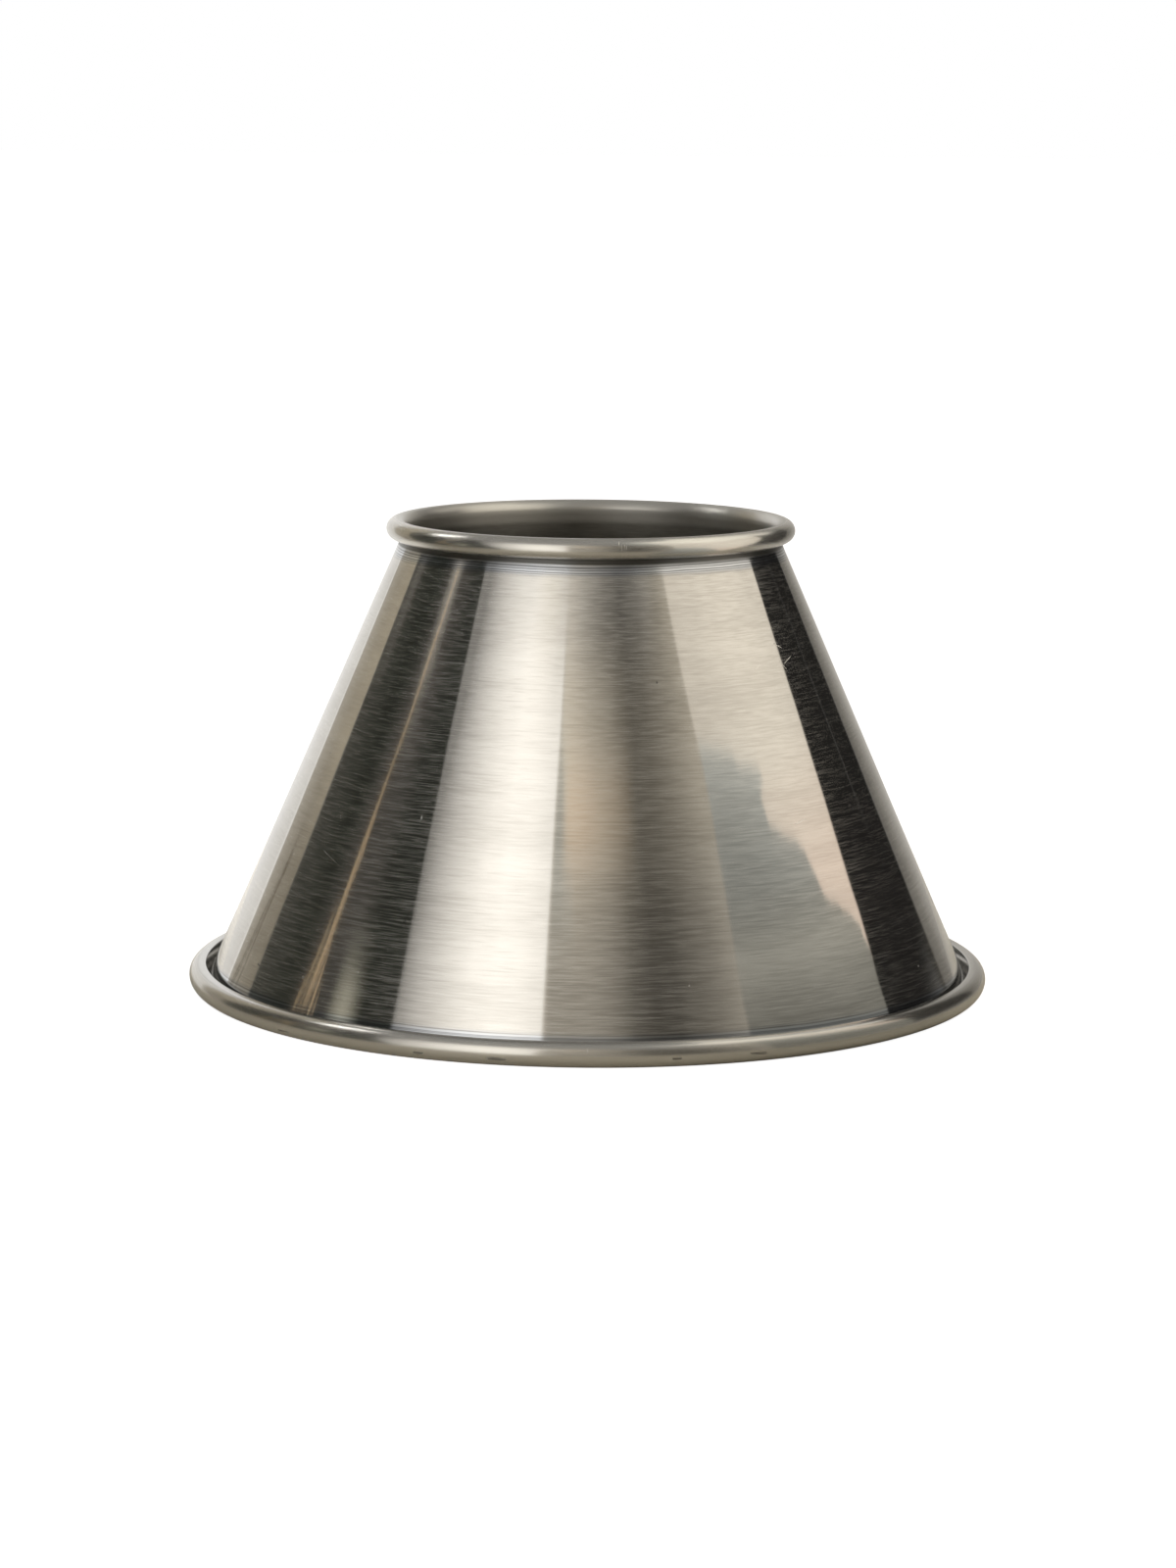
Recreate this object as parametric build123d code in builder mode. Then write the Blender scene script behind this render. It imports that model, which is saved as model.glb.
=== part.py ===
"""Spun metal lampshade: an open cone with a rolled bead round its mouth and an open hem round
its rim, and the wire-armed fitter inside that hangs it on a lampholder.

Millimetres. The shade stands on its rim: +Z is its axis, and the origin is on that axis in the
plane that the rim rests on.
"""

from build123d import *
import os
from math import acos, asin, atan2, cos, degrees, hypot, radians, sqrt, tan

os.makedirs("parts", exist_ok=True)

# The shade's outside sizes
rim_diameter = 200.0
mouth_diameter = 101.4
shade_height = 117.1
sheet = 0.6

# The open hem: the sheet turns outwards along a narrow floor, up and back over to a short lip
hem_radius = 2.95
hem_floor = 0.4
hem_lip = 0.95
root_radius = 1.2

# The bead: the sheet rolls outwards and down until its edge is tucked in beside the wall
bead_radius = 2.55
bead_seam = 0.2

# The fitter ring: a stamped washer with a turned-down flange, clamped by the lampholder
fitter_depth = 22.0
bore_diameter = 42.0
ring_diameter = 60.0
ring_sheet = 1.5
flange_height = 7.0
flange_bend = 1.0

# The arms: round wire, welded to the flange at one end and along the shade's wall at the other
arm_count = 3
first_arm_bearing = 90.0
wire_diameter = 3.0
arm_drop = 4.2
arm_bend = 5.0
foot_length = 13.0
weld_gap = 0.1

# Middle of the sheet, where the wall runs as a straight tangent from the hem's root to the bead
hem_middle = hem_radius - sheet / 2
root_middle = root_radius + sheet / 2
bead_middle = bead_radius - sheet / 2
hem_center_r = rim_diameter / 2 - hem_radius
root_center_r = hem_center_r - hem_floor
root_center_z = sheet / 2 + root_middle
bead_center_r = mouth_diameter / 2 - bead_radius
bead_center_z = shade_height - bead_radius
center_run = root_center_r - bead_center_r
center_rise = bead_center_z - root_center_z
center_distance = hypot(center_run, center_rise)
radius_step = root_middle - bead_middle
wall_lean = degrees(atan2(center_run, center_rise) - asin(radius_step / center_distance))
wall_length = sqrt(center_distance**2 - radius_step**2)

# The rounded edge of the rolled bead stops one seam short of the wall's outer face
tuck_angle = degrees(acos((bead_radius - 1.5 * sheet - bead_seam - sheet / 2) / bead_middle))
bead_turn = 360 - tuck_angle


def wall_inside(height):
    """Radius of the wall's inner face at a height."""
    face_offset = (root_middle + sheet / 2) / cos(radians(wall_lean))
    return root_center_r - face_offset - tan(radians(wall_lean)) * (height - root_center_z)


# The shade: one sheet, drawn along its middle from the hem's lip to the bead's tucked edge
with BuildPart() as spun_shell:
    with BuildSketch(Plane.XZ) as section:
        with BuildLine() as middle:
            lip = Line(
                (hem_center_r - hem_lip, 2 * hem_radius - sheet / 2),
                (hem_center_r, 2 * hem_radius - sheet / 2),
            )
            hem = JernArc(lip @ 1, lip % 1, hem_middle, -180)
            floor = PolarLine(hem @ 1, hem_floor, direction=hem % 1)
            root = JernArc(floor @ 1, floor % 1, root_middle, wall_lean - 90)
            wall = PolarLine(root @ 1, wall_length, direction=root % 1)
            bead = JernArc(wall @ 1, wall % 1, bead_middle, -bead_turn)
            offset(amount=sheet / 2, side=Side.BOTH)
        make_face()
    revolve(axis=Axis.Z)
spun_shell.part.label = "spun_shell"
export_step(spun_shell.part, "parts/spun_shell.step")

# The fitter ring, stamped from one sheet: its top face and flange, thickened inwards
ring_top = shade_height - fitter_depth
ring_radius = ring_diameter / 2
with BuildPart() as fitter_ring:
    with BuildSketch(Plane.XZ) as ring_section:
        with BuildLine() as ring_outline:
            ring_face = FilletPolyline(
                (bore_diameter / 2, ring_top),
                (ring_radius, ring_top),
                (ring_radius, ring_top - flange_height),
                radius=ring_sheet + flange_bend,
            )
            offset(ring_face, amount=ring_sheet, side=Side.RIGHT)
        make_face()
    revolve(axis=Axis.Z)
fitter_ring.part.label = "fitter_ring"
export_step(fitter_ring.part, "parts/fitter_ring.step")

# The arms: out from the flange, then bent down to lie along the wall
arm_height = ring_top - arm_drop
wire_stand_off = (wire_diameter / 2 + weld_gap) / cos(radians(wall_lean))
arm_start = ring_radius + weld_gap
knee = (wall_inside(arm_height) - wire_stand_off, arm_height)
foot_end_height = arm_height - foot_length * cos(radians(wall_lean))
foot_end = (wall_inside(foot_end_height) - wire_stand_off, foot_end_height)
for number in range(arm_count):
    bearing = first_arm_bearing + number * 360 / arm_count
    arm_plane = Plane.XZ.rotated((0, 0, bearing))
    with BuildPart() as fitter_arm:
        with BuildLine(arm_plane) as route:
            FilletPolyline((arm_start, arm_height), knee, foot_end, radius=arm_bend)
        with BuildSketch(Plane(route.line @ 0, z_dir=route.line % 0)):
            Circle(wire_diameter / 2)
        sweep()
    arm_name = f"fitter_arm_{number + 1}"
    fitter_arm.part.label = arm_name
    export_step(fitter_arm.part, f"parts/{arm_name}.step")
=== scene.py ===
import math

import bmesh
import bpy
from mathutils import Matrix, Vector


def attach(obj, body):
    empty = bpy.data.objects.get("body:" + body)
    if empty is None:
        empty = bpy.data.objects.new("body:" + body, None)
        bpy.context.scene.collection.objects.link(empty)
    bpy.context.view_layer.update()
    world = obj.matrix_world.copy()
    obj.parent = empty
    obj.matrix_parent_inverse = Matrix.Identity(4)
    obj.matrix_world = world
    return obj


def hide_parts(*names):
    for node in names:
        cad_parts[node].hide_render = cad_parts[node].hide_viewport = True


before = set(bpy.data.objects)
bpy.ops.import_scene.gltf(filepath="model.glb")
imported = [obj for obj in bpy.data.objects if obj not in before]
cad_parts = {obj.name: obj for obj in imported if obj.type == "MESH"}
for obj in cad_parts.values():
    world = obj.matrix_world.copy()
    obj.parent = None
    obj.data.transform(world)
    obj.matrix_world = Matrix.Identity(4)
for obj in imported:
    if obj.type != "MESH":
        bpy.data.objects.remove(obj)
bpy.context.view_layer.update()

MM = 0.001
MERGE = 0.004 * MM

# The shell's section, in millimetres, as the part has it
SHEET = 0.6
HEM_RADIUS = 2.95
HEM_FLOOR = 0.4
HEM_LIP = 0.95
ROOT_RADIUS = 1.2
BEAD_RADIUS = 2.55
BEAD_SEAM = 0.2
RIM_RADIUS = 100.0
MOUTH_RADIUS = 50.7
SHADE_HEIGHT = 117.1

HEM_CENTER_R = RIM_RADIUS - HEM_RADIUS
ROOT_CENTER = (HEM_CENTER_R - HEM_FLOOR, SHEET + ROOT_RADIUS)
BEAD_CENTER = (MOUTH_RADIUS - BEAD_RADIUS, SHADE_HEIGHT - BEAD_RADIUS)
ROOT_MIDDLE = ROOT_RADIUS + SHEET / 2
BEAD_MIDDLE = BEAD_RADIUS - SHEET / 2
RUN = ROOT_CENTER[0] - BEAD_CENTER[0]
RISE = BEAD_CENTER[1] - ROOT_CENTER[1]
SPAN = math.hypot(RUN, RISE)
WALL_LEAN = math.atan2(RUN, RISE) - math.asin((ROOT_MIDDLE - BEAD_MIDDLE) / SPAN)
WALL_LENGTH = math.sqrt(SPAN**2 - (ROOT_MIDDLE - BEAD_MIDDLE) ** 2)
TUCK = math.acos((BEAD_RADIUS - 1.5 * SHEET - BEAD_SEAM - SHEET / 2) / BEAD_MIDDLE)
WALL_SLOPE = math.tan(WALL_LEAN)
WALL_OUT_AT_ROOT = ROOT_CENTER[0] - ROOT_RADIUS / math.cos(WALL_LEAN)
WALL_OUT_AT_FLOOR = WALL_OUT_AT_ROOT + WALL_SLOPE * ROOT_CENTER[1]

ROUND_STEPS = 360

# The fitter: a stamped ring and three wires, as the part has them
RING_TOP = SHADE_HEIGHT - 22.0
RING_RADIUS = 30.0
BORE_RADIUS = 21.0
RING_SHEET = 1.5
RING_BEND = 2.5
FLANGE_HEIGHT = 7.0
CUT_EDGE = 0.25
ARM_COUNT = 3
FIRST_ARM = 90.0
WIRE_RADIUS = 1.5
ARM_DROP = 4.2
ARM_BEND = 5.0
FOOT_LENGTH = 13.0
WELD_GAP = 0.1
WELD_REACH = 1.1
WELD_SINK = 0.25
NUGGET_RADIUS = 1.1
NUGGET_SHAPE = (0.8, 1.35, 1.1, 1.0)
NUGGET_PLACES = (0.12, 0.17, 0.22, 0.68, 0.73, 0.78)

# Heights on the shell at which its finish changes
BRUSHED_FROM = 6.6
BRUSHED_TO = 108.2
HEM_TOP = 6.0
BEAD_FOOT = 110.5
BRUSH_DEPTH = 0.004 * MM

# Wear on the outside: bearing, height, half width and half height, and a lean where it has one
SPECKS = (
    (-61.3, 12.4, 0.8, 0.25, 0.2),
    (-31.0, 29.0, 0.3, 0.3),
    (-66.0, 62.0, 0.25, 0.2),
    (15.5, 84.0, 0.25, 0.3),
)
SCRATCHES = (
    (53.0, 90.0, 1.5, 0.12, 0.5),
    (55.0, 86.5, 2.2, 0.12, -0.35),
    (52.5, 85.5, 0.9, 0.1, 1.2),
    (43.5, 86.0, 0.9, 0.1, -0.6),
    (43.0, 50.5, 2.2, 0.14, -0.25),
    (-32.5, 52.0, 0.15, 0.45, 0.3),
    (-48.5, 13.0, 0.3, 0.2),
    (15.5, 17.0, 0.2, 0.2),
    (62.5, 13.0, 0.3, 0.2),
    (-52.0, 40.0, 4.0, 0.07, 0.3),
)
SCUFFS = (
    (-46.0, 1.9, 2.4, 0.5),
    (-23.0, 1.8, 1.6, 0.5),
    (-12.0, 2.0, 2.9, 0.5),
    (12.0, 2.4, 1.3, 0.4),
    (23.5, 2.3, 2.6, 0.5),
)
DENTS = ((8.0, 115.4, 0.35, 1.3, 0.3), (9.4, 115.2, 0.25, 0.8, -0.4), (0.0, 4.6, 0.25, 0.4))


# Meshes


def finished(name, bm, material):
    """The bmesh as a smooth object of one material, with its faces outward."""
    bmesh.ops.remove_doubles(bm, verts=bm.verts, dist=MERGE)
    bmesh.ops.recalc_face_normals(bm, faces=bm.faces)
    mesh = bpy.data.meshes.new(name)
    bm.to_mesh(mesh)
    bm.free()
    mesh.shade_smooth()
    mesh.materials.append(material)
    piece = bpy.data.objects.new(name, mesh)
    bpy.context.scene.collection.objects.link(piece)
    return piece


class Section:
    """A line drawn in the XZ plane, one vertex after another, ready to be spun."""

    def __init__(self, start):
        self.bm = bmesh.new()
        self.tip = self.bm.verts.new((start[0] * MM, 0, start[1] * MM))

    def straight(self, heading, length, stops=(1.0,)):
        """A run along a heading, counted from +X towards +Z, with a vertex at each share of it."""
        start = self.tip.co.copy()
        ahead = Vector((math.cos(heading), 0, math.sin(heading))) * length * MM
        for share in stops:
            self.tip = bmesh.ops.extrude_vert_indiv(self.bm, verts=[self.tip])["verts"][0]
            self.tip.co = start + ahead * share

    def arc(self, center, angle, steps):
        """A run round a center. A positive angle turns clockwise, seen from the front."""
        made = bmesh.ops.spin(
            self.bm,
            geom=[self.tip],
            cent=(center[0] * MM, 0, center[1] * MM),
            axis=(0, 1, 0),
            angle=angle,
            steps=steps,
        )
        self.tip = next(v for v in made["geom_last"] if isinstance(v, bmesh.types.BMVert))

    def close(self):
        """Joins the last vertex to the first."""
        bmesh.ops.remove_doubles(self.bm, verts=self.bm.verts, dist=MERGE)

    def spin(self, steps, turn=360.0):
        """Turns the line round +Z, once unless a turn in degrees is given."""
        bmesh.ops.spin(
            self.bm,
            geom=self.bm.verts[:] + self.bm.edges[:],
            cent=(0, 0, 0),
            axis=(0, 0, 1),
            angle=math.radians(turn),
            steps=steps,
            use_merge=turn == 360.0,
        )
        return self.bm


def spun_shell(material):
    """The shade's one sheet: hem, wall and bead, both faces and both rounded edges."""
    half = SHEET / 2
    lip_z = 2 * HEM_RADIUS - half
    inward = math.pi
    up_wall = math.pi / 2 + WALL_LEAN
    near_bend = (0.002, 0.008, 0.03)
    rows = near_bend + tuple(i / 10 for i in range(1, 10))
    rows += tuple(1 - share for share in reversed(near_bend)) + (1.0,)
    end_angle = up_wall - (2 * math.pi - TUCK)
    bead_end = (
        BEAD_CENTER[0] - BEAD_MIDDLE * math.sin(end_angle),
        BEAD_CENTER[1] + BEAD_MIDDLE * math.cos(end_angle),
    )
    section = Section((HEM_CENTER_R - HEM_LIP, lip_z + half))
    section.straight(0, HEM_LIP, (0.3, 1.0))
    section.arc((HEM_CENTER_R, HEM_RADIUS), math.pi, 36)
    section.straight(inward, HEM_FLOOR)
    section.arc(ROOT_CENTER, math.pi / 2 - WALL_LEAN, 10)
    section.straight(up_wall, WALL_LENGTH, rows)
    section.arc(BEAD_CENTER, 2 * math.pi - TUCK, 26)
    section.arc(bead_end, math.pi, 6)
    section.arc(BEAD_CENTER, TUCK - 2 * math.pi, 44)
    section.straight(up_wall + math.pi, WALL_LENGTH, rows)
    section.arc(ROOT_CENTER, WALL_LEAN - math.pi / 2, 10)
    section.straight(0, HEM_FLOOR)
    section.arc((HEM_CENTER_R, HEM_RADIUS), -math.pi, 26)
    section.straight(inward, HEM_LIP)
    section.arc((HEM_CENTER_R - HEM_LIP, lip_z), math.pi, 6)
    section.close()
    return finished("shade_shell", section.spin(ROUND_STEPS), material)


def fitter_ring(material):
    """The stamped washer with its turned-down flange and softened cut edges."""
    edge = CUT_EDGE
    flat = RING_RADIUS - RING_BEND - BORE_RADIUS - edge
    drop = FLANGE_HEIGHT - RING_BEND - edge
    bend = (RING_RADIUS - RING_BEND, RING_TOP - RING_BEND)
    flange_end = RING_TOP - FLANGE_HEIGHT
    quarter = math.pi / 2
    section = Section((BORE_RADIUS + edge, RING_TOP))
    section.straight(0, flat, (0.5, 1.0))
    section.arc(bend, quarter, 10)
    section.straight(-quarter, drop, (0.5, 1.0))
    section.arc((RING_RADIUS - edge, flange_end + edge), quarter, 4)
    section.straight(math.pi, RING_SHEET - 2 * edge)
    section.arc((RING_RADIUS - RING_SHEET + edge, flange_end + edge), quarter, 4)
    section.straight(quarter, drop, (0.5, 1.0))
    section.arc(bend, -quarter, 6)
    section.straight(math.pi, flat, (0.5, 1.0))
    section.arc((BORE_RADIUS + edge, RING_TOP - RING_SHEET + edge), quarter, 4)
    section.straight(quarter, RING_SHEET - 2 * edge)
    section.arc((BORE_RADIUS + edge, RING_TOP - edge), quarter, 4)
    section.close()
    return finished("ring_stamping", section.spin(192), material)


class Wire:
    """A round wire, pushed out from its first end, bent and rounded off."""

    def __init__(self, start, radius):
        self.bm = bmesh.new()
        self.middle = Vector(start) * MM
        self.ahead = Vector((1, 0, 0))
        bmesh.ops.create_circle(
            self.bm,
            segments=24,
            radius=radius * MM,
            matrix=Matrix.Translation(self.middle) @ Matrix.Rotation(math.pi / 2, 4, "Y"),
        )
        self.loop = list(self.bm.edges)
        bmesh.ops.holes_fill(self.bm, edges=self.loop)

    def verts(self):
        return list({v: None for e in self.loop for v in e.verts})

    def push(self, length, shrink=1.0):
        """A straight or tapered run."""
        made = bmesh.ops.extrude_edge_only(self.bm, edges=self.loop)["geom"]
        edges = [e for e in made if isinstance(e, bmesh.types.BMEdge)]
        self.loop = [e for e in edges if len(e.link_faces) == 1]
        move = self.ahead * length * MM
        bmesh.ops.translate(self.bm, verts=self.verts(), vec=move)
        self.middle = self.middle + move
        to_middle = Matrix.Translation(-self.middle)
        bmesh.ops.scale(self.bm, verts=self.verts(), vec=(shrink,) * 3, space=to_middle)

    def run(self, length, pieces=4):
        """A straight run of even pieces."""
        for _ in range(pieces):
            self.push(length / pieces)

    def bend(self, radius, angle, steps):
        """A bend towards -Z."""
        across = Vector((self.ahead.z, 0, -self.ahead.x))
        center = self.middle + across * radius * MM
        made = bmesh.ops.spin(
            self.bm,
            geom=self.verts() + self.loop,
            cent=center,
            axis=(0, 1, 0),
            angle=angle,
            steps=steps,
        )
        self.loop = [e for e in made["geom_last"] if isinstance(e, bmesh.types.BMEdge)]
        turn = Matrix.Rotation(angle, 3, "Y")
        self.middle = center + turn @ (self.middle - center)
        self.ahead = turn @ self.ahead

    def round_off(self, radius, edge, steps=4):
        """A rounded edge and a flat end."""
        size = radius
        for i in range(1, steps + 1):
            angle = math.pi / 2 * i / steps
            before = math.pi / 2 * (i - 1) / steps
            smaller = radius - edge * (1 - math.cos(angle))
            self.push(edge * (math.sin(angle) - math.sin(before)), smaller / size)
            size = smaller
        bmesh.ops.holes_fill(self.bm, edges=self.loop)


def weld_collar(bm, start, radius, reach):
    """A hollow-sided weld round the wire where it meets the flange."""
    foot = start - WELD_SINK
    edge = bm.verts.new((foot * MM, 0, (radius + reach) * MM))
    bmesh.ops.spin(
        bm,
        geom=[edge],
        cent=((foot + reach) * MM, 0, (radius + reach) * MM),
        axis=(0, 1, 0),
        angle=-math.pi / 2,
        steps=6,
    )
    bmesh.ops.spin(
        bm,
        geom=bm.verts[:] + bm.edges[:],
        cent=(0, 0, 0),
        axis=(1, 0, 0),
        angle=2 * math.pi,
        steps=24,
        use_merge=True,
    )
    bmesh.ops.holes_fill(bm, edges=bm.edges[:])


def weld_nugget(bm, place, along, size):
    """One ripple of a weld, longer along the wire than it is wide."""
    turn = Vector((0, 0, 1)).rotation_difference(along).to_matrix().to_4x4()
    bmesh.ops.create_uvsphere(
        bm,
        u_segments=20,
        v_segments=10,
        radius=size * MM,
        matrix=Matrix.Translation(place * MM) @ turn @ Matrix.Diagonal(NUGGET_SHAPE),
    )


def fitter_arm(number, material):
    """A wire from the flange to the wall, bent down along it, with its welds."""
    height = RING_TOP - ARM_DROP
    inner_at_floor = WALL_OUT_AT_FLOOR - SHEET / math.cos(WALL_LEAN)
    stand_off = (WIRE_RADIUS + WELD_GAP) / math.cos(WALL_LEAN)
    knee = inner_at_floor - WALL_SLOPE * height - stand_off
    turn = math.pi / 2 - WALL_LEAN
    bend_run = ARM_BEND * math.tan(turn / 2)
    start = RING_RADIUS + WELD_GAP
    collar = bmesh.new()
    weld_collar(collar, start, WIRE_RADIUS, WELD_REACH)
    bmesh.ops.translate(collar, verts=collar.verts, vec=(0, 0, height * MM))
    wire = Wire((start, 0, height), WIRE_RADIUS)
    wire.run(knee - bend_run - start)
    wire.bend(ARM_BEND, turn, 12)
    wire.run(FOOT_LENGTH - bend_run - CUT_EDGE)
    wire.round_off(WIRE_RADIUS, CUT_EDGE)
    outward = Vector((math.cos(WALL_LEAN), 0, math.sin(WALL_LEAN)))
    tip = wire.middle / MM
    beside = outward * (WIRE_RADIUS * 0.82)
    for share in NUGGET_PLACES:
        place = tip - wire.ahead * FOOT_LENGTH * share + beside
        weld_nugget(wire.bm, place, wire.ahead, NUGGET_RADIUS)
    mesh = bpy.data.meshes.new("collar")
    collar.to_mesh(mesh)
    collar.free()
    wire.bm.from_mesh(mesh)
    bpy.data.meshes.remove(mesh)
    bearing = math.radians(FIRST_ARM + 360.0 * number / ARM_COUNT)
    bmesh.ops.rotate(
        wire.bm, verts=wire.bm.verts, cent=(0, 0, 0), matrix=Matrix.Rotation(bearing, 3, "Z")
    )
    return finished("arm_wire_" + str(number + 1), wire.bm, material)


# Node trees


class Number:
    """A number that varies over a surface. Sums and products of it add Math nodes."""

    def __init__(self, tree, socket):
        self.tree = tree
        self.socket = socket

    def __add__(self, other):
        return self.tree.math("ADD", self, other)

    def __radd__(self, other):
        return self.tree.math("ADD", other, self)

    def __sub__(self, other):
        return self.tree.math("SUBTRACT", self, other)

    def __rsub__(self, other):
        return self.tree.math("SUBTRACT", other, self)

    def __mul__(self, other):
        return self.tree.math("MULTIPLY", self, other)

    def __rmul__(self, other):
        return self.tree.math("MULTIPLY", other, self)

    def __truediv__(self, other):
        return self.tree.math("DIVIDE", self, other)


class Tree:
    """The node tree of one material or of the world."""

    def __init__(self, owner):
        owner.use_nodes = True
        self.nodes = owner.node_tree.nodes
        self.links = owner.node_tree.links
        self.nodes.clear()

    def node(self, kind, settings=(), sockets=()):
        """A node of a kind, with its settings and then its sockets' values or links."""
        made = self.nodes.new(kind)
        for name, value in dict(settings).items():
            if name == "stops":
                while len(made.color_ramp.elements) < len(value):
                    made.color_ramp.elements.new(1.0)
                for element, (place, color) in zip(made.color_ramp.elements, value):
                    element.position = place
                    element.color = (*color, 1.0)
            else:
                setattr(made, name, value)
        for name, value in dict(sockets).items():
            socket = made.inputs[name]
            if isinstance(value, Number):
                self.links.new(value.socket, socket)
            elif isinstance(value, bpy.types.NodeSocket):
                self.links.new(value, socket)
            elif isinstance(value, tuple) and len(value) == 3 and socket.type == "RGBA":
                socket.default_value = (*value, 1.0)
            else:
                socket.default_value = value
        return made

    def number(self, node, output=0):
        return Number(self, node.outputs[output])

    def math(self, operation, *values):
        made = self.node("ShaderNodeMath", {"operation": operation}, dict(enumerate(values)))
        return self.number(made)

    def step(self, value, start, end):
        """0 before start and 1 after end, smoothly."""
        sockets = {"Value": value, "From Min": start, "From Max": end}
        return self.number(
            self.node("ShaderNodeMapRange", {"interpolation_type": "SMOOTHSTEP"}, sockets)
        )

    def strip(self, value, start, end, soft):
        """1 between start and end, with soft edges that are centered on them."""
        rise = self.step(value - start, -soft / 2, soft / 2)
        fall = self.step(value - end, -soft / 2, soft / 2)
        return rise * (1 - fall)

    def mix(self, share, first, second):
        """A color between two colors."""
        made = self.node(
            "ShaderNodeMix",
            {"data_type": "RGBA"},
            {0: share, 6: first, 7: second},
        )
        return made.outputs[2]

    def vector(self, operation, *values, scale=None):
        sockets = dict(enumerate(values))
        if scale is not None:
            sockets["Scale"] = scale
        made = self.node("ShaderNodeVectorMath", {"operation": operation}, sockets)
        return made.outputs[0]

    def noise(self, place, scale, detail=2.0, roughness=0.5, w=None):
        """Noise from 0 to 1, in four dimensions where w is given."""
        sockets = {"Vector": place, "Scale": scale, "Detail": detail, "Roughness": roughness}
        if w is not None:
            sockets["W"] = w
        dimensions = "3D" if w is None else "4D"
        return self.number(
            self.node("ShaderNodeTexNoise", {"noise_dimensions": dimensions}, sockets)
        )

    def place(self):
        """Object coordinates: x, y, z, the distance from the axis and the bearing in degrees.

        The bearing is 0 at the front and grows to the right. Lengths are in millimetres."""
        source = self.node("ShaderNodeTexCoord").outputs["Object"]
        split = self.node("ShaderNodeSeparateXYZ", {}, {0: source})
        x, y, z = (self.number(split, i) * 1000 for i in range(3))
        radius = self.math("SQRT", x * x + y * y)
        bearing = self.math("ARCTAN2", x, 0 - y) * (180 / math.pi)
        return source, x, y, z, radius, bearing

    def output(self, surface, kind="ShaderNodeOutputMaterial"):
        self.node(kind, {}, {"Surface": surface})


# Materials


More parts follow.
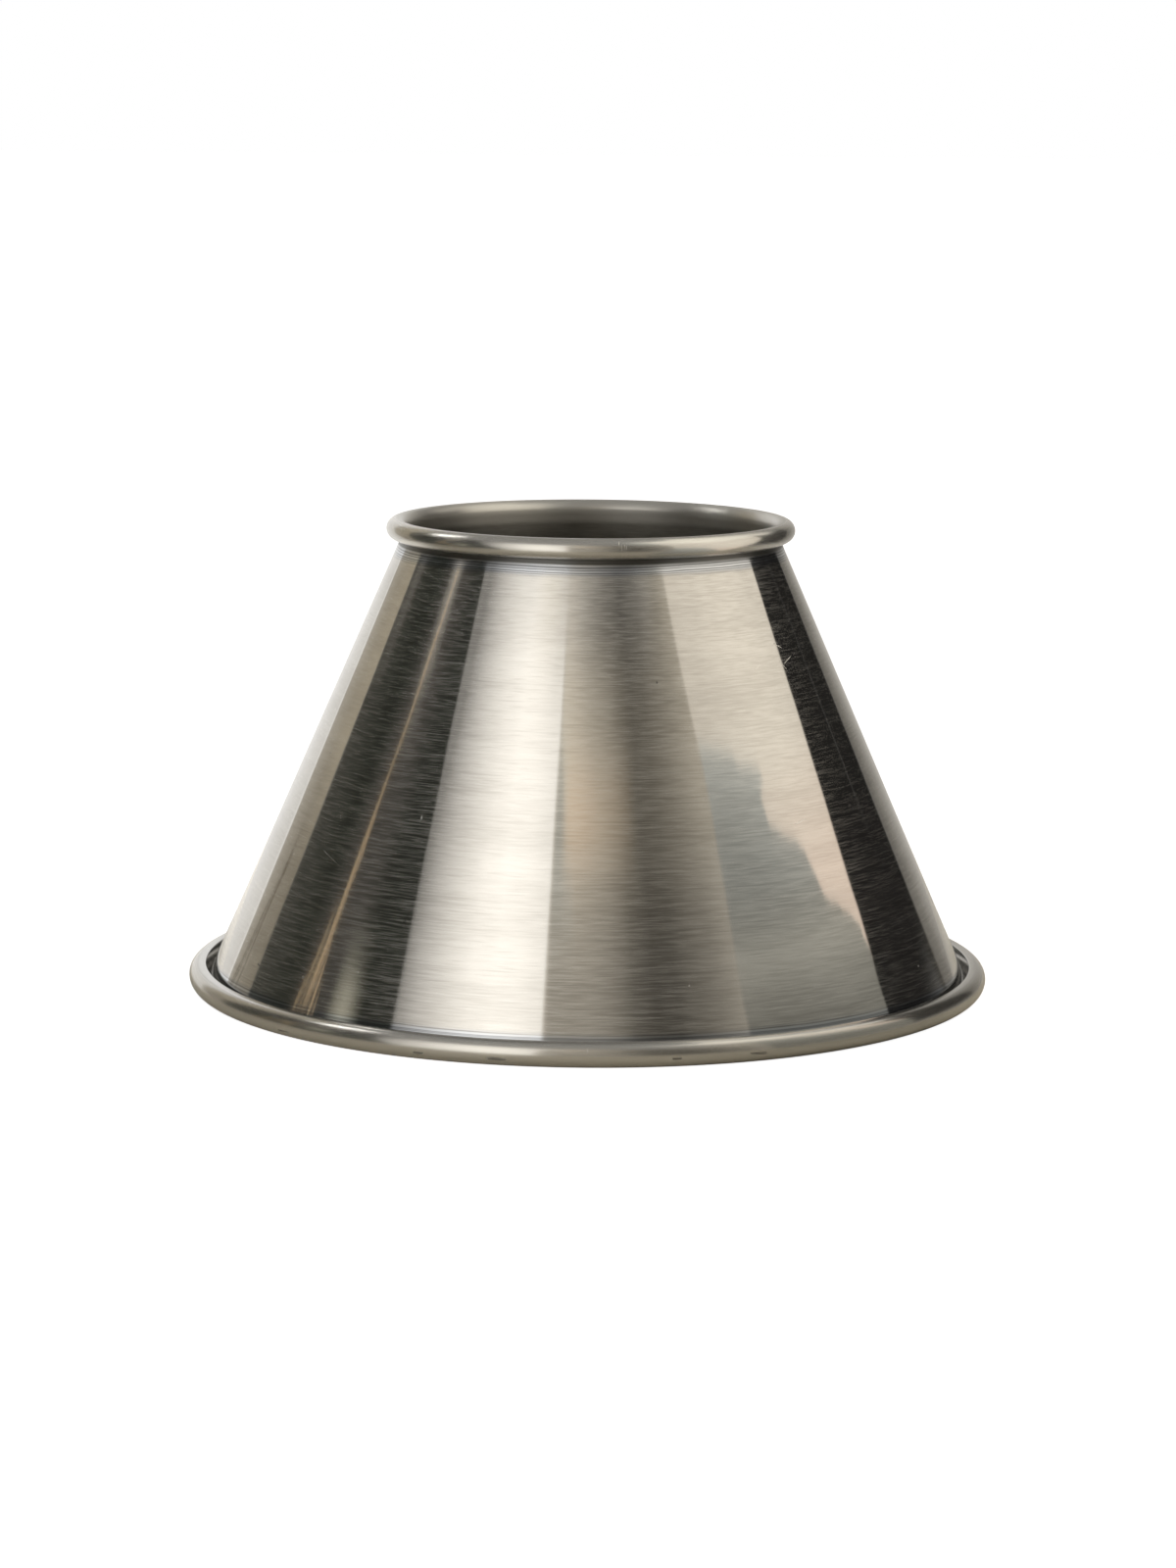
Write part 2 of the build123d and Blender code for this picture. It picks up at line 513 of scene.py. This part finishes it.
def brushed_silver():
    """Antique silver on the shade: lacquered metal, brushed round the axis, plain at its rolls."""
    material = bpy.data.materials.new("brushed antique silver")
    t = Tree(material)
    source, _, _, z, radius, bearing = t.place()
    ring = t.vector("NORMALIZE", t.vector("MULTIPLY", source, (1.0, 1.0, 0.0)))

    def brush(along, across, detail, shift):
        """Streaks round the axis: so many to a radian along, so many to a millimetre across."""
        level = t.node("ShaderNodeCombineXYZ", {}, {2: z * across + shift}).outputs[0]
        at = t.vector("ADD", t.vector("MULTIPLY", ring, (along, along, along)), level)
        return t.noise(at, 1.0, detail, 0.55, radius * across)

    fine = brush(6.0, 3.4, 1.0, 0.0)
    middle = brush(5.0, 1.6, 1.0, 40.0)
    broad = brush(1.5, 0.16, 3.0, 90.0)
    grain = brush(18.0, 3.4, 0.0, 150.0)

    # The wall's outer face, and the part of it that the brush reaches
    off_wall = radius - (WALL_OUT_AT_FLOOR - z * WALL_SLOPE)
    outer = t.step(off_wall, -0.35, -0.2)
    brushed = t.strip(z + (middle - 0.5) * 0.8, BRUSHED_FROM, BRUSHED_TO, 1.6) * outer
    hem = (1 - t.step(z, HEM_TOP - 1, HEM_TOP + 1)) * t.step(off_wall, 0.5, 1.2)
    roll = t.math("MINIMUM", t.step(z, BEAD_FOOT, BEAD_FOOT + 2) + hem, 1.0)

    def mark(at_bearing, at_height, wide, tall, lean=0.0):
        """A small mark on the outside: its size in millimetres, and its lean across the brush."""
        across = (bearing - at_bearing) * radius * (math.pi / 180)
        up = z - at_height + across * lean
        aside = t.math("ABSOLUTE", across / wide)
        reach = t.math("MAXIMUM", aside, t.math("ABSOLUTE", up / tall))
        return (1 - t.step(reach, 0.6, 1.0)) * outer

    def marks(places):
        found = 0.0
        for place in places:
            found = t.math("MAXIMUM", found, mark(*place))
        return found

    # Silver where it is brushed, plain beside that with polish rings, duller on the rolls
    streak = fine * 0.28 + middle * 0.1 + grain * 0.22 + broad * 0.4
    tone = t.step(streak, 0.34, 0.66)
    silver = t.mix(tone, (0.528, 0.508, 0.476), (0.682, 0.662, 0.627))
    level = t.node("ShaderNodeCombineXYZ", {}, {2: z * 2.2 + (broad - 0.5) * 2.5}).outputs[0]
    rings = t.step(t.noise(level, 1.0, 1.0), 0.4, 0.58)
    plain = t.mix(rings * 0.85 + tone * 0.15, (0.2, 0.205, 0.215), (0.6, 0.62, 0.65))
    rolled = t.mix(tone, (0.53, 0.51, 0.47), (0.58, 0.56, 0.52))
    # The inside is darker than the outside: its own duller finish, darkened further as painted
    # shade of the hollow
    inside_with_painted_shade = t.mix(tone, (0.27, 0.257, 0.23), (0.37, 0.352, 0.32))
    color = t.mix(outer, inside_with_painted_shade, plain)
    color = t.mix(brushed, color, silver)
    color = t.mix(roll, color, rolled)

    # Painted shade and dirt under the bead, and dirt in the scuffs where the hem has rubbed on
    # tables
    painted_shade_and_dirt_under_bead = t.strip(z, 110.6, 112.6, 0.6) * outer * (1 - t.step(off_wall, 0.1, 0.3))
    scuffs = marks(SCUFFS) * t.step(grain * 0.6 + fine * 0.4, 0.42, 0.56)
    specks = marks(SPECKS)
    dirt_and_painted_shade = t.math("MAXIMUM", t.math("MAXIMUM", painted_shade_and_dirt_under_bead, scuffs), specks)
    # The dark colour mixed in here is painted shade with dirt under the bead, and dirt in the
    # scuffs and specks
    color = t.mix(dirt_and_painted_shade * 0.75, color, (0.1, 0.098, 0.09))
    scratches = marks(SCRATCHES)

    # The rolls, the inside and the mouth's throat are rougher than the wall
    throat = (1 - t.step(radius, 47.6, 49.4)) * t.step(z, 104, 114)
    rough = 0.09 + (tone - 0.5) * 0.03 + roll * 0.13 + (1 - outer) * 0.2 + dirt_and_painted_shade * 0.2
    rough = rough + throat * 0.16
    waves = (fine * 0.6 + middle * 0.25 + grain * 0.4) * (brushed * 0.9 + 0.1)
    dents = marks(DENTS) * 6.0 + scratches * 2.0
    bump = t.node(
        "ShaderNodeBump",
        {},
        {"Strength": 1.0, "Distance": BRUSH_DEPTH, "Height": waves - dents},
    )
    metal = t.node(
        "ShaderNodeBsdfPrincipled",
        {},
        {
            "Base Color": color,
            "Metallic": 1.0,
            "Roughness": rough,
            "Anisotropic": 0.9,
            "Anisotropic Rotation": 0.25,
            "Coat Weight": 0.15,
            "Coat Roughness": 0.03,
            "Normal": bump.outputs[0],
        },
    )
    hazy = t.node(
        "ShaderNodeBsdfPrincipled",
        {},
        {
            "Base Color": (0.9, 0.885, 0.85),
            "Metallic": 1.0,
            "Roughness": 0.5,
            "Normal": bump.outputs[0],
        },
    )

    # A second, hazy lobe in the brush's hairlines, fewer of them to the right, and in scratches
    scratched = t.step(fine * 0.6 + grain * 0.4, 0.42, 0.68) * brushed
    scratched = scratched * (1 - t.step(bearing, 45, 62) * 0.6)
    haze = 0.002 + scratched * 0.165 + roll * 0.1 + scratches * 0.6
    haze = t.math("MINIMUM", haze * (1 - dirt_and_painted_shade), 1.0)
    both = t.node("ShaderNodeMixShader", {}, {0: haze, 1: metal.outputs[0], 2: hazy.outputs[0]})
    t.output(both.outputs[0])
    return material


def plated_steel():
    """Dull nickel plating on the fitter's ring and wires, drawn lines and a little clouding, its
    tone kept dark as painted shade of the hollow it sits in.
    """
    material = bpy.data.materials.new("plated steel")
    t = Tree(material)
    source, *_ = t.place()
    cloud = t.noise(source, 160.0, 3.0, 0.6)
    lines = t.noise(t.vector("MULTIPLY", source, (400.0, 400.0, 2600.0)), 1.0, 2.0)
    tone = t.step(cloud * 0.7 + lines * 0.3, 0.3, 0.7)
    # The plating's dark tone is partly painted shade of the hollow inside the shade
    color = t.mix(tone, (0.2, 0.195, 0.185), (0.33, 0.325, 0.31))
    metal = t.node(
        "ShaderNodeBsdfPrincipled",
        {},
        {
            "Base Color": color,
            "Metallic": 1.0,
            "Roughness": 0.24 + cloud * 0.14,
        },
    )
    t.output(metal.outputs[0])
    return material


# The studio: a tent of panels round the table, which the camera doesn't see


TENT_RADIUS = 300.0
TENT_HEIGHT = 700.0
CARD_RADIUS = 130.0
CARD_HEIGHT = 420.0
ABOVE_TABLE = 2.0
TABLE_DROP = 0.02
TABLE_REACH = 12.0


class Panels:
    """Panels of light laid over each other on a round wall.

    Bearings are in degrees and heights in millimetres. A lean moves an edge by that many
    degrees for each millimetre above the middle height."""

    MIDDLE = 150.0

    def __init__(self, tree, ground):
        self.tree = tree
        self.source, _, _, self.height, _, bearing = tree.place()
        swing = tree.noise(self.source, 28.0, 3.0, 0.6)
        self.bearing = bearing + (swing - 0.5) * 1.8
        self.color = tree.mix(0.0, ground, ground)

    def past(self, edge, lean):
        """How far the bearing is past a leaning edge."""
        return self.bearing - (self.height - self.MIDDLE) * lean - edge

    def tone(self, start, end, tones, lean):
        """A row of tones spread evenly from start to end."""
        if len(tones) == 1:
            return tones[0]
        scale = max(max(tone) for tone in tones)
        stops = [
            (i / (len(tones) - 1), tuple(part / scale for part in tone))
            for i, tone in enumerate(tones)
        ]
        along = self.past(start, lean) / (end - start)
        ramp = self.tree.node("ShaderNodeValToRGB", {"stops": stops}, {0: along})
        return self.tree.vector("SCALE", ramp.outputs[0], scale=scale)

    def add(
        self, start, end, tones, low=-50.0, high=340.0,
        soft=2.0, fade=60.0, lean=0.0, lean_end=None, lean_tones=None, share=1.0,
    ):
        """One panel from start to end and from low to high, with soft and faded edges."""
        t = self.tree
        lean_end = lean if lean_end is None else lean_end
        lean_tones = lean if lean_tones is None else lean_tones
        rise = t.step(self.past(start, lean), -soft / 2, soft / 2)
        fall = t.step(self.past(end, lean_end), -soft / 2, soft / 2)
        mask = rise * (1 - fall) * t.strip(self.height, low, high, fade) * share
        self.color = t.mix(mask, self.color, self.tone(start, end, tones, lean_tones))

    def spot(self, bearing, height, wide, tall, tone):
        """A round lamp with soft edges."""
        t = self.tree
        across = (self.bearing - bearing) / wide
        up = (self.height - height) / tall
        reach = t.math("SQRT", across * across + up * up)
        self.color = t.mix(1 - t.step(reach, 0.15, 1.0), self.color, tone)


def grey(level, warmth=0.0):
    """A near-neutral tone. Warmth takes blue away and leaves red."""
    return (level, level * (1 - 0.35 * warmth), level * (1 - warmth))


def tent_light():
    """The tent's panels, from bearing -200 round to 200."""
    material = bpy.data.materials.new("studio tent")
    t = Tree(material)
    p = Panels(t, grey(0.34, 0.06))

    # White behind, dimmer to the right, and a dark band above it
    p.add(-200, -138.5, [grey(1.0, 0.03), grey(0.88, 0.06)], high=290, lean=-0.11)
    right = [(0.17, 0.16), (0.37, 0.14), (0.56, 0.12), (0.74, 0.08), (0.92, 0.05)]
    p.add(137, 200, [grey(*tone) for tone in right], high=255, soft=3, lean=0.1)
    p.add(120.8, 131, [grey(0.17, 0.16), grey(0.25, 0.15)], high=46, soft=4, fade=30)
    p.add(150, 178, [grey(0.2, 0.1)], low=262, high=400, soft=12, fade=30)

    # To the left, a warm panel with thin dark lines, and a dark one with narrow bright gaps
    warm = [(0.52, 0.2), (0.44, 0.28), (0.48, 0.32)]
    shaded = [(0.5, 0.2), (0.34, 0.26), (0.29, 0.32)]
    p.add(-138.5, -115, [grey(*tone) for tone in warm], lean=-0.11, lean_end=-0.055)
    p.add(
        -138.5, -115, [grey(*tone) for tone in shaded],
        high=98, fade=50, lean=-0.11, lean_end=-0.055,
    )
    p.add(-140.2, -138.8, [grey(1.08, 0.04)], soft=0.8, lean=-0.11)
    for start, lean in ((-116.1, 0.045), (-115.0, 0.045), (-121.8, -0.033)):
        p.add(
            start, start + 0.4, [(0.13, 0.105, 0.075)],
            low=12, high=76, soft=0.3, fade=14, lean=lean,
        )
    dark = [
        (0.085, 0.084, 0.073),
        (0.036, 0.039, 0.031),
        (0.034, 0.037, 0.03),
        (0.042, 0.044, 0.037),
    ]
    p.add(-115, -56, dark, lean=-0.055, lean_end=-0.065)
    p.add(-115, -109, [grey(0.17, 0.15)], low=170, high=262, soft=6, fade=60)
    p.add(-116, -104, [(0.3, 0.28, 0.22)], low=262, soft=8, fade=60)
    p.add(-89, -72, [grey(0.09, 0.14)], low=60, high=320, soft=12, fade=120)
    p.add(-84, -79, [grey(0.62, 0.14)], low=222, high=420, soft=7, fade=110, lean=-0.015)
    gaps = (
        (-83.8, 0.014, 84, 300, 0.4), (-82.9, 0.012, 84, 150, 0.25),
        (-83.6, 0.056, -50, 112, 0.3), (-82.0, 0.056, -50, 104, 0.2),
        (-84.0, -0.034, -50, 104, 0.3), (-82.6, -0.034, -50, 92, 0.2),
    )
    for start, lean, low, high, wide in gaps:
        p.add(
            start, start + wide, [(1.25, 0.92, 0.55)],
            low=low, high=high, soft=0.3, fade=16, lean=lean,
        )
    p.add(-74, -67, [(0.56, 0.54, 0.44)], low=62, high=114, soft=7, fade=26)

    # The main softbox, left of the camera
    key = [0.34, 0.8, 1.2, 1.55, 1.7, 1.62, 1.4]
    p.add(
        -56, -11.7, [grey(level, 0.08) for level in key],
        high=330, fade=110, lean=-0.065, lean_end=-0.004, lean_tones=-0.03,
    )
    p.add(-66, -30, [grey(0.2, 0.08)], low=250, high=420, fade=110, soft=16, share=0.12)

    # In front, the darker side that the camera looks in from
    front = [0.97, 0.8, 0.59, 0.45, 0.27, 0.165, 0.19, 0.28, 0.4, 0.55, 0.56, 0.56]
    p.add(-11.7, 57, [grey(level, 0.24) for level in front], lean=-0.004)
    under = [0.46, 0.44, 0.42, 0.33, 0.17, 0.1, 0.11, 0.19, 0.28, 0.42, 0.48, 0.5]
    p.add(-11.7, 57, [grey(level, 0.2) for level in under], high=200, fade=64, lean=-0.004)
    p.add(
        -11.7, 0.1, [(0.56, 0.55, 0.49)],
        low=188, high=256, soft=1.6, fade=24, lean=-0.004, lean_end=-0.11,
    )
    peach = [
        (1.0, 0.8, 0.59),
        (0.92, 0.74, 0.55),
        (0.7, 0.58, 0.44),
        (0.5, 0.42, 0.32),
        (0.2, 0.17, 0.13),
    ]
    p.add(-8.7, 17, peach, low=213, high=245, soft=4, fade=16, lean_end=0.0, share=0.9)
    above = [1.3, 1.1, 0.75, 0.45, 0.24, 0.14, 0.24, 0.42]
    p.add(-28, 34, [grey(level, 0.14) for level in above], low=290, fade=50, soft=12)

    # Cream to the right, and a dark panel beyond it that is lower
    p.add(57, 96, [grey(0.95, 0.18)], high=2000, lean_end=0.1)
    p.add(96, 137, [grey(0.026, 0.1), grey(0.02, 0.1)], low=20, high=250, lean=0.1, lean_end=0.1)
    p.add(119.7, 120.2, [grey(0.1, 0.05)], low=95, high=180, soft=0.6, fade=30, lean=0.067)
    p.add(70, 138, [grey(1.15, 0.16)], low=265, high=2000, soft=8, fade=40)
    p.add(138, 156, [grey(0.55, 0.14)], low=290, high=2000, soft=8)
    p.add(98, 120, [grey(0.06, 0.1)], low=200, high=345, soft=6, fade=30)

    # A lamp high up, behind and to the left
    p.spot(-109.5, 392, 7.5, 125, (9.0, 9.0, 8.8))

    light = t.node("ShaderNodeEmission", {}, {"Color": p.color, "Strength": 1.0})
    t.output(light.outputs[0])
    return material


def card_light():
    """The reflector's face: cream above, grey below, with an uneven edge between them."""
    material = bpy.data.materials.new("studio reflector")
    t = Tree(material)
    p = Panels(t, grey(0.98, 0.23))
    h = p.height
    cream = t.mix(t.step(h, 55, 110), (1.0, 0.84, 0.71), (1.04, 0.965, 0.84))
    cream = t.mix(t.step(h, 165, 205), cream, (1.36, 1.3, 1.15))
    across = 0.88 + t.step(p.bearing, 36, 68) * 0.2 - t.step(p.bearing, 72, 94) * 0.12
    cream = t.vector("SCALE", cream, scale=across)

    # The grey part's edge: its bearing at each height, stepped, with lobes and a fine fringe
    lobes = t.noise(t.vector("MULTIPLY", p.source, (0.0, 0.0, 110.0)), 1.0, 2.0, 0.5)
    fringe = t.noise(t.vector("MULTIPLY", p.source, (8.0, 8.0, 900.0)), 1.0, 3.0, 0.6)
    edge = 71 + (lobes - 0.5) * 5 + (fringe - 0.5) * 3 + (1 - t.step(h, 44, 52)) * 1.5
    setbacks = ((47, 60, 6), (70, 86, 9.5), (92, 98, -3), (100, 107, 8), (107, 119, 14))
    for low, high, back in setbacks:
        edge = edge - t.step(h, low, high) * back
    grey_part = 1 - t.step(p.bearing - edge, -0.5, 0.5)

    # The grey's level at each height, brighter and cooler towards its edge and its top
    levels = (0.24, 0.33, 0.45, 0.35, 0.35, 0.36, 0.44, 0.5, 0.6, 0.66)
    stops = [(i / (len(levels) - 1), grey(level)) for i, level in enumerate(levels)]
    rise = (h - 28) / 90 + (lobes - 0.5) * 0.12
    ramp = t.node("ShaderNodeValToRGB", {"stops": stops}, {0: rise})
    brighter = (0.2 + t.step(h, 50, 85) * 0.3) * t.step(p.bearing, 40, 66)
    level = t.vector("SCALE", ramp.outputs[0], scale=0.92 + brighter)
    tint = t.mix(t.step(h, 45, 75), (1.0, 0.98, 0.87), (1.0, 1.02, 0.95))
    color = t.mix(grey_part, cream, t.vector("MULTIPLY", level, tint))

    near_edge = 38 - (1 - t.step(h, 20, 110)) * 5.5 - t.step(h, 168, 215) * 14
    far_edge = 70 + (h - 25) * 0.205
    beyond = t.step(p.bearing - far_edge, -0.5, 0.5)
    there = t.step(p.bearing - near_edge, -0.6, 0.6) * (1 - beyond)
    light = t.node("ShaderNodeEmission", {}, {"Color": color, "Strength": 1.0})
    clear = t.node("ShaderNodeBsdfTransparent")
    both = t.node(
        "ShaderNodeMixShader", {}, {0: there, 1: clear.outputs[0], 2: light.outputs[0]}
    )
    t.output(both.outputs[0])
    return material


def studio_wall(name, radius, height, start, turn, steps, material):
    """A round wall about the table, which the camera doesn't see."""
    section = Section((radius, ABOVE_TABLE))
    section.straight(math.pi / 2, height, (0.25, 0.5, 0.75, 1.0))
    bmesh.ops.rotate(
        section.bm,
        verts=section.bm.verts,
        cent=(0, 0, 0),
        matrix=Matrix.Rotation(math.radians(start - 90), 3, "Z"),
    )
    material.cycles.emission_sampling = "NONE"
    wall = finished(name, section.spin(steps, turn), material)
    wall.visible_camera = False
    return wall


def studio_floor():
    """A white table. The camera sees it as plain white, and metal sees painted light on it: a glow
    behind the shade, dimmer to the right, on paper darker and warmer than the camera sees.
    """
    bm = bmesh.new()
    bmesh.ops.create_grid(bm, x_segments=2, y_segments=2, size=TABLE_REACH)
    material = bpy.data.materials.new("white table")
    t = Tree(material)
    rays = t.node("ShaderNodeLightPath")
    seen = t.number(rays, "Is Camera Ray")
    _, x, y, *_ = t.place()
    # Painted light, seen only in reflections: the table glows behind the shade, less to the right
    painted_glow_behind = t.number(rays, "Is Glossy Ray") * t.step(y, 10, 130)
    glow = seen * 0.9 + painted_glow_behind * (0.55 - t.step(x, 20, 110) * 0.36)
    # Rays other than the camera's see a darker, warmer paper: painted shade on the table
    tone = t.mix(seen, (0.74, 0.7, 0.61), (0.82, 0.81, 0.79))
    paper = t.node("ShaderNodeBsdfDiffuse", {}, {"Color": tone})
    white = t.node("ShaderNodeEmission", {}, {"Color": (1.0, 1.0, 1.0), "Strength": glow})
    both = t.node("ShaderNodeAddShader", {}, {0: paper.outputs[0], 1: white.outputs[0]})
    t.output(both.outputs[0])
    floor = finished("table_floor", bm, material)
    floor.data.transform(Matrix.Translation((0, 0, -TABLE_DROP * MM)))
    return floor


def studio_world():
    """White beyond the table for the camera, and a soft grey ceiling over the tent."""
    world = bpy.data.worlds.new("studio")
    bpy.context.scene.world = world
    t = Tree(world)
    seen = t.number(t.node("ShaderNodeLightPath"), "Is Camera Ray")
    ceiling = t.node("ShaderNodeBackground", {}, {"Color": (0.36, 0.355, 0.34), "Strength": 1.0})
    white = t.node("ShaderNodeBackground", {}, {"Color": (1.0, 1.0, 1.0), "Strength": 1.0})
    both = t.node(
        "ShaderNodeMixShader", {}, {0: seen, 1: ceiling.outputs[0], 2: white.outputs[0]}
    )
    t.output(both.outputs[0], "ShaderNodeOutputWorld")


def studio_camera():
    """The photograph's camera: a long lens a metre away, a little above the shade."""
    sensor = 36.0
    focal_pixels = 4391.065
    frame_pixels = 1600
    distance = 1078.159 * MM
    down = math.radians(9.288)
    roll = math.radians(0.45)
    aim = Vector((-0.2, 0.0, 50.245)) * MM
    ahead = Vector((0.0, math.cos(down), -math.sin(down)))
    level = Vector((1.0, 0.0, 0.0))
    above = level.cross(ahead)
    right = level * math.cos(roll) + above * math.sin(roll)
    up = above * math.cos(roll) - level * math.sin(roll)
    camera = bpy.data.objects.new("camera", bpy.data.cameras.new("camera"))
    bpy.context.scene.collection.objects.link(camera)
    camera.matrix_world = Matrix.Translation(aim - ahead * distance) @ Matrix(
        (right, up, -ahead)
    ).transposed().to_4x4()
    camera.data.sensor_width = sensor
    camera.data.lens = focal_pixels / frame_pixels * sensor
    camera.data.clip_start = 0.05
    camera.data.clip_end = 100.0
    bpy.context.scene.camera = camera


studio_world()
studio_floor()
studio_wall("studio_tent", TENT_RADIUS, TENT_HEIGHT, 0, 360.0, 96, tent_light())
studio_wall("studio_reflector", CARD_RADIUS, CARD_HEIGHT, 20, 110.0, 44, card_light())
studio_camera()

silver = brushed_silver()
steel = plated_steel()
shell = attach(spun_shell(silver), "root")
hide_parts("spun_shell")
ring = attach(fitter_ring(steel), "root")
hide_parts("fitter_ring")
for number in range(ARM_COUNT):
    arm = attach(fitter_arm(number, steel), "root")
    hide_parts("fitter_arm_" + str(number + 1))

scene = bpy.context.scene
scene.view_settings.view_transform = "Standard"
